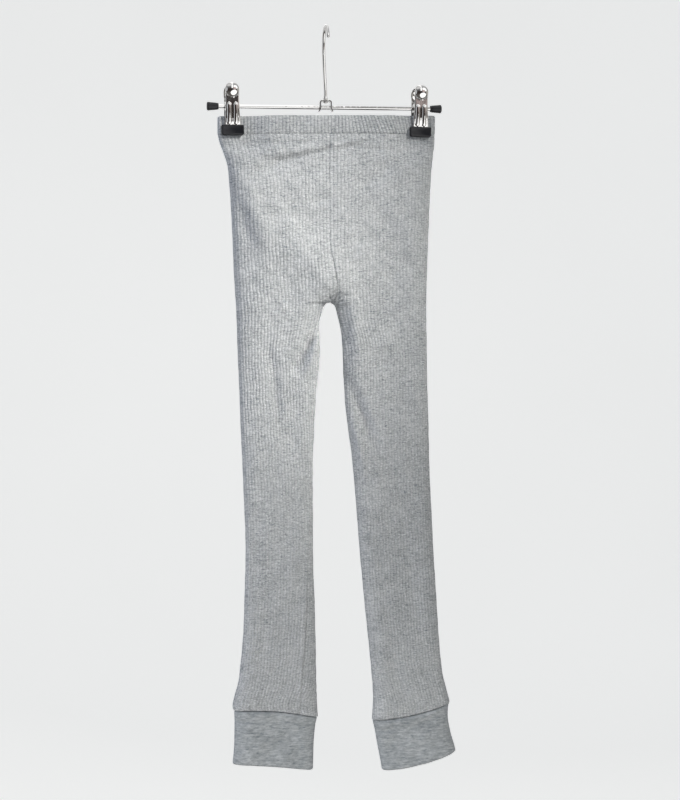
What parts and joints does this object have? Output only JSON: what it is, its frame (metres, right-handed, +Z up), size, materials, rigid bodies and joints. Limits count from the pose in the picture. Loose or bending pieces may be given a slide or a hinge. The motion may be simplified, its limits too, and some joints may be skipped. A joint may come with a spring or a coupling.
{
  "type": "leggings on a clip hanger",
  "caption": "Child's ribbed leggings with a waistband and plain cuffs, hanging open-legged from a chromed clip hanger.",
  "frame": {"origin": "inside of the hook at its top, where it rests on a rail or peg", "axes": "+Z up; -Y towards the front of the leggings; -X towards the wearer's right leg"},
  "size_m": [0.2342, 0.0335, 0.6939],
  "materials": {
    "rib_knit": "matt rib knit, light grey melange",
    "plain_jersey": "matt plain jersey, grey melange",
    "chrome_steel": "polished chrome",
    "black_rubber": "satin moulded rubber",
    "spring_steel": "bright drawn spring wire"
  },
  "bodies": {
    "root": {"waistband": "rib_knit", "leg_right": "rib_knit", "leg_left": "rib_knit", "cuff_right": "plain_jersey", "cuff_left": "plain_jersey", "hook": "chrome_steel", "stirrup": "chrome_steel", "bar": "chrome_steel", "bar_cap_right": "black_rubber", "bar_cap_left": "black_rubber", "clip_right_front": "chrome_steel", "clip_right_back": "chrome_steel", "clip_right_pad_front": "black_rubber", "clip_right_pad_back": "black_rubber", "clip_right_spring": "spring_steel", "clip_left_front": "chrome_steel", "clip_left_back": "chrome_steel", "clip_left_pad_front": "black_rubber", "clip_left_pad_back": "black_rubber", "clip_left_spring": "spring_steel"}
  },
  "joints": []
}
